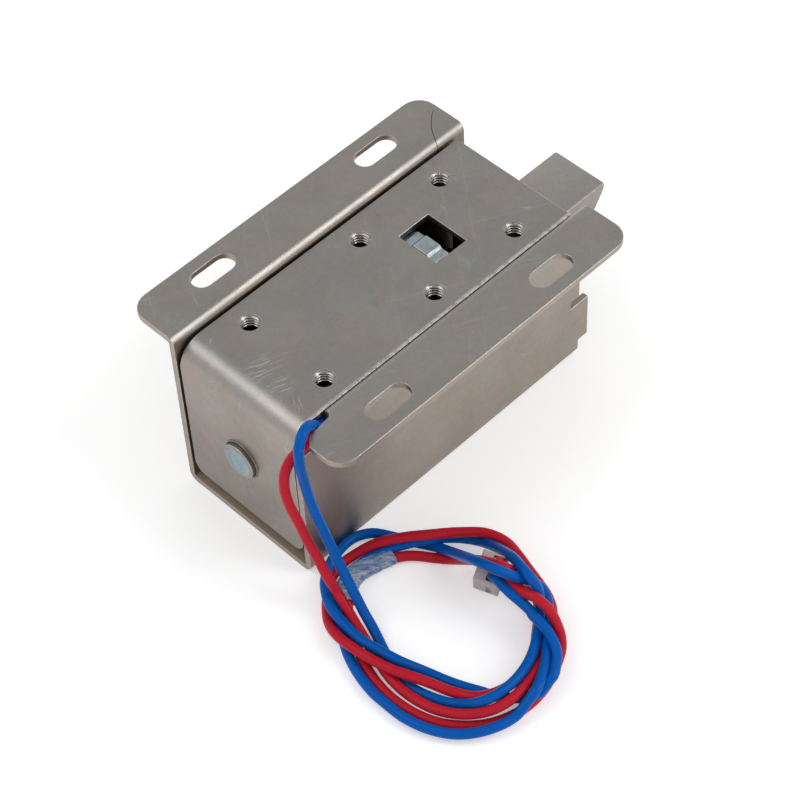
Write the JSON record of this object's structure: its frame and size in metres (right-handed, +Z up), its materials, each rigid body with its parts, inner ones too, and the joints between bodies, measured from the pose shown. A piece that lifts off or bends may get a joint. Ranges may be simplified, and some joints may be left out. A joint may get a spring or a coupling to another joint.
{
  "type": "electronic lock",
  "caption": "Small electric cabinet lock: a pull solenoid in a folded steel case with slotted mounting flanges, a sprung slanted latch bolt, and two leads ending in a plug",
  "frame": {"origin": "middle of the lock's bounding box, leads left out, at the underside of the case", "axes": "+X the way the bolt points, +Y across the case away from the lead notch, +Z up through the open side and the flanges"},
  "size_m": [0.0766, 0.0699, 0.0316],
  "materials": {
    "case_nickel": "satin nickel plate on folded steel",
    "frame_nickel": "brushed nickel plate",
    "blue_zinc": "bluish zinc plate",
    "core_zinc": "bluish zinc plate, faced",
    "guide_nickel": "dull nickel plate",
    "plunger_nickel": "ground and nickel plated",
    "bolt_nickel": "nickel plated casting, bead blasted",
    "pin_steel": "ground steel",
    "spring_steel": "bright spring wire",
    "brass": "drawn brass",
    "rubber": "black rubber",
    "nylon": "natural nylon",
    "winding": "enamelled copper wire",
    "coil_tape": "amber polyester tape",
    "blue_insulation": "smooth blue PVC",
    "red_insulation": "smooth red PVC",
    "clear_tape": "clear tape",
    "plug_nylon": "pale grey nylon",
    "tin": "tinned brass"
  },
  "bodies": {
    "lock_body": {"outer_case": "case_nickel", "inner_frame": "frame_nickel", "pole_plate": "blue_zinc", "front_guide": "guide_nickel", "fixed_core": "core_zinc", "bumper": "rubber", "guide_tube": "brass", "bobbin": "nylon", "coil_winding": "winding", "coil_tape": "coil_tape", "return_spring": "spring_steel", "blue_lead": "blue_insulation", "red_lead": "red_insulation", "blue_tail": "blue_insulation", "red_tail": "red_insulation", "lead_bundle": "blue_insulation", "lead_sleeve": "clear_tape", "connector_housing": "plug_nylon", "terminal_blue": "tin", "terminal_red": "tin"},
    "bolt": {"plunger": "plunger_nickel", "latch_bolt": "bolt_nickel", "bolt_pin": "pin_steel"}
  },
  "joints": [
    {"name": "bolt_slide", "type": "slide", "parent": "lock_body", "child": "bolt", "axis": [-1, 0, 0], "range_m": [0, 0.01], "stiffness_N_per_m": 180, "springref_m": -0.008, "deforming": ["return_spring"]}
  ]
}
